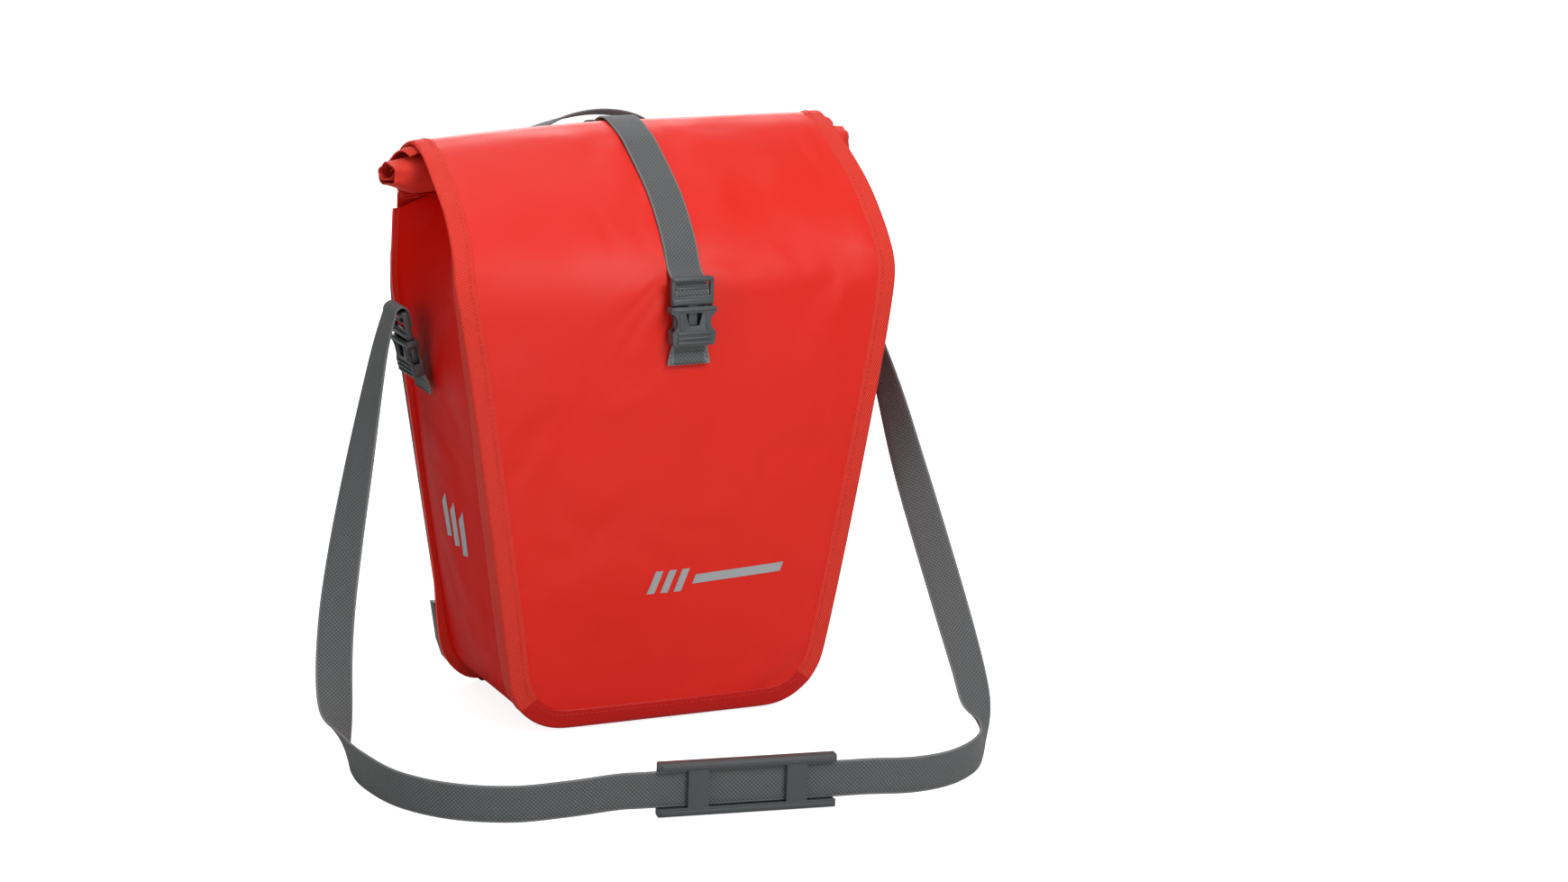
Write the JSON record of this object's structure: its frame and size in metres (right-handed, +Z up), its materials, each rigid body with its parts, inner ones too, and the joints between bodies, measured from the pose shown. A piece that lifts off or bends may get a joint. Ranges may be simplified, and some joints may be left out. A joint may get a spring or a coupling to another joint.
{
  "type": "pannier bag",
  "caption": "Roll-top bicycle pannier with rigid back plate, rail-mounted latching hooks, swivelling lower hook, side-release buckles and a shoulder strap",
  "frame": {"origin": "On the floor, at the middle of the bag's footprint box without the free shoulder strap and its pad.", "axes": "+Z up, +Y from the front face towards the back plate and its hooks, +X to the right when the front is seen."},
  "size_m": [0.4514, 0.3683, 0.4093],
  "materials": {
    "coated_fabric": "waterproof coated polyester, satin",
    "seam_tape": "twill seam tape",
    "webbing": "woven webbing",
    "plate_plastic": "moulded, fine grain",
    "buckle_plastic": "moulded",
    "hook_plastic": "moulded, glossy",
    "latch_plastic": "moulded",
    "orange_plastic": "moulded",
    "screw_steel": "zinc plated"
  },
  "bodies": {
    "bag": {"front_panel": "coated_fabric", "back_panel": "coated_fabric", "left_gusset": "coated_fabric", "right_gusset": "coated_fabric", "bottom_panel": "coated_fabric", "roll_top": "coated_fabric", "roll_stiffener": "plate_plastic", "front_binding": "seam_tape", "back_binding": "seam_tape", "back_plate": "plate_plastic", "left_corner_guard": "plate_plastic", "right_corner_guard": "plate_plastic", "left_top_rivet": "hook_plastic", "right_top_rivet": "hook_plastic", "left_middle_rivet": "hook_plastic", "right_middle_rivet": "hook_plastic", "left_bottom_rivet": "hook_plastic", "right_bottom_rivet": "hook_plastic", "left_rail": "plate_plastic", "right_rail": "plate_plastic", "closure_strap": "webbing", "front_anchor": "webbing", "front_socket": "buckle_plastic", "rear_anchor": "webbing", "left_anchor": "webbing", "left_socket": "buckle_plastic", "right_anchor": "webbing", "right_socket": "buckle_plastic", "shoulder_strap": "webbing", "carry_handle": "webbing"},
    "left_hook": {"left_hook_body": "hook_plastic", "left_latch_pin": "screw_steel", "left_nut_plate": "screw_steel", "left_pull_link": "latch_plastic"},
    "left_toe": {"left_latch": "latch_plastic"},
    "left_clamp": {"left_clamp_disc": "orange_plastic", "left_clamp_screw": "screw_steel"},
    "right_hook": {"right_hook_body": "hook_plastic", "right_latch_pin": "screw_steel", "right_nut_plate": "screw_steel", "right_pull_link": "latch_plastic"},
    "right_toe": {"right_latch": "latch_plastic"},
    "right_clamp": {"right_clamp_disc": "orange_plastic", "right_clamp_screw": "screw_steel"},
    "lower_carriage": {"groove_bolt": "screw_steel", "lower_hook_washer": "plate_plastic"},
    "lower_arm": {"lower_hook_arm": "plate_plastic"},
    "lower_knob": {"lower_hook_knob": "orange_plastic"},
    "rear_buckle_frame": {"rear_buckle": "buckle_plastic"},
    "front_plug_body": {"front_plug": "buckle_plastic"},
    "front_arm_a": {"front_prong_a": "buckle_plastic"},
    "front_arm_b": {"front_prong_b": "buckle_plastic"},
    "left_plug_body": {"left_plug": "buckle_plastic"},
    "left_arm_a": {"left_prong_a": "buckle_plastic"},
    "left_arm_b": {"left_prong_b": "buckle_plastic"},
    "right_plug_body": {"right_plug": "buckle_plastic"},
    "right_arm_a": {"right_prong_a": "buckle_plastic"},
    "right_arm_b": {"right_prong_b": "buckle_plastic"},
    "pad": {"strap_pad": "buckle_plastic"}
  },
  "joints": [
    {"name": "left_hook_slide", "type": "slide", "parent": "bag", "child": "left_hook", "axis": [1, 0, 0], "range_m": [-0.03, 0.046], "deforming": ["carry_handle"]},
    {"name": "left_clamp_turn", "type": "hinge", "parent": "left_hook", "child": "left_clamp", "pos_m": [-0.073, 0.07185, 0.295], "axis": [0, 1, 0], "range_deg": [0, 180]},
    {"name": "left_latch_swing", "type": "hinge", "parent": "left_hook", "child": "left_toe", "pos_m": [-0.073, 0.09355, 0.31], "axis": [1, 0, 0], "range_deg": [0, 65], "stiffness_Nm_per_rad": 0.02},
    {"name": "right_hook_slide", "type": "slide", "parent": "bag", "child": "right_hook", "axis": [1, 0, 0], "range_m": [-0.046, 0.03], "deforming": ["carry_handle"]},
    {"name": "right_clamp_turn", "type": "hinge", "parent": "right_hook", "child": "right_clamp", "pos_m": [0.073, 0.07185, 0.295], "axis": [0, 1, 0], "range_deg": [0, 180]},
    {"name": "right_latch_swing", "type": "hinge", "parent": "right_hook", "child": "right_toe", "pos_m": [0.073, 0.09355, 0.31], "axis": [1, 0, 0], "range_deg": [0, 65]},
    {"name": "lower_hook_travel", "type": "hinge", "parent": "bag", "child": "lower_carriage", "pos_m": [0, 0.06385, 0.17085], "axis": [0, 1, 0], "range_deg": [-20, 20]},
    {"name": "lower_hook_swivel", "type": "hinge", "parent": "lower_carriage", "child": "lower_arm", "pos_m": [-0.005, 0.07185, 0.054], "axis": [0, 1, 0], "range_deg": [-120, 120]},
    {"name": "lower_knob_turn", "type": "hinge", "parent": "lower_carriage", "child": "lower_knob", "pos_m": [-0.005, 0.07185, 0.054], "axis": [0, 1, 0], "range_deg": [0, 180]},
    {"name": "rear_buckle_tilt", "type": "hinge", "parent": "bag", "child": "rear_buckle_frame", "pos_m": [0, 0.06845, 0.399], "axis": [1, 0, 0], "range_deg": [0, 40]},
    {"name": "front_plug_pull", "type": "slide", "parent": "bag", "child": "front_plug_body", "axis": [0, 0.0523, 0.9986], "range_m": [0, 0.03], "deforming": ["closure_strap"]},
    {"name": "front_prong_a_squeeze", "type": "hinge", "parent": "front_plug_body", "child": "front_arm_a", "pos_m": [0.0105, -0.09105, 0.29926], "axis": [0, -0.9986, 0.0523], "range_deg": [-8, 0], "stiffness_Nm_per_rad": 0.05},
    {"name": "front_prong_b_squeeze", "type": "hinge", "parent": "front_plug_body", "child": "front_arm_b", "pos_m": [-0.0105, -0.09105, 0.29926], "axis": [0, -0.9986, 0.0523], "range_deg": [0, 8]},
    {"name": "left_plug_pull", "type": "slide", "parent": "bag", "child": "left_plug_body", "axis": [-0.2419, 0, 0.9703], "range_m": [0, 0.03], "deforming": ["shoulder_strap"]},
    {"name": "left_prong_a_squeeze", "type": "hinge", "parent": "left_plug_body", "child": "left_arm_a", "pos_m": [-0.16751, 0.00335, 0.26742], "axis": [-0.9703, 0, -0.2419], "range_deg": [-8, 0], "stiffness_Nm_per_rad": 0.05},
    {"name": "left_prong_b_squeeze", "type": "hinge", "parent": "left_plug_body", "child": "left_arm_b", "pos_m": [-0.16751, 0.02435, 0.26742], "axis": [-0.9703, 0, -0.2419], "range_deg": [0, 8]},
    {"name": "right_plug_pull", "type": "slide", "parent": "bag", "child": "right_plug_body", "axis": [0.2419, 0, 0.9703], "range_m": [0, 0.03], "deforming": ["shoulder_strap"]},
    {"name": "right_prong_a_squeeze", "type": "hinge", "parent": "right_plug_body", "child": "right_arm_a", "pos_m": [0.16751, 0.02435, 0.26742], "axis": [0.9703, 0, -0.2419], "range_deg": [-8, 0], "stiffness_Nm_per_rad": 0.05},
    {"name": "right_prong_b_squeeze", "type": "hinge", "parent": "right_plug_body", "child": "right_arm_b", "pos_m": [0.16751, 0.00335, 0.26742], "axis": [0.9703, 0, -0.2419], "range_deg": [0, 8]},
    {"name": "strap_pad_slide", "type": "slide", "parent": "bag", "child": "pad", "axis": [0.9871, -0.1599, 0], "range_m": [-0.02, 0.02], "deforming": ["shoulder_strap"]}
  ],
  "couplings": [
    {"joint": "right_latch_swing", "follows": "left_latch_swing", "ratio": 1},
    {"joint": "front_prong_b_squeeze", "follows": "front_prong_a_squeeze", "ratio": -1},
    {"joint": "left_prong_b_squeeze", "follows": "left_prong_a_squeeze", "ratio": -1},
    {"joint": "right_prong_b_squeeze", "follows": "right_prong_a_squeeze", "ratio": -1}
  ]
}
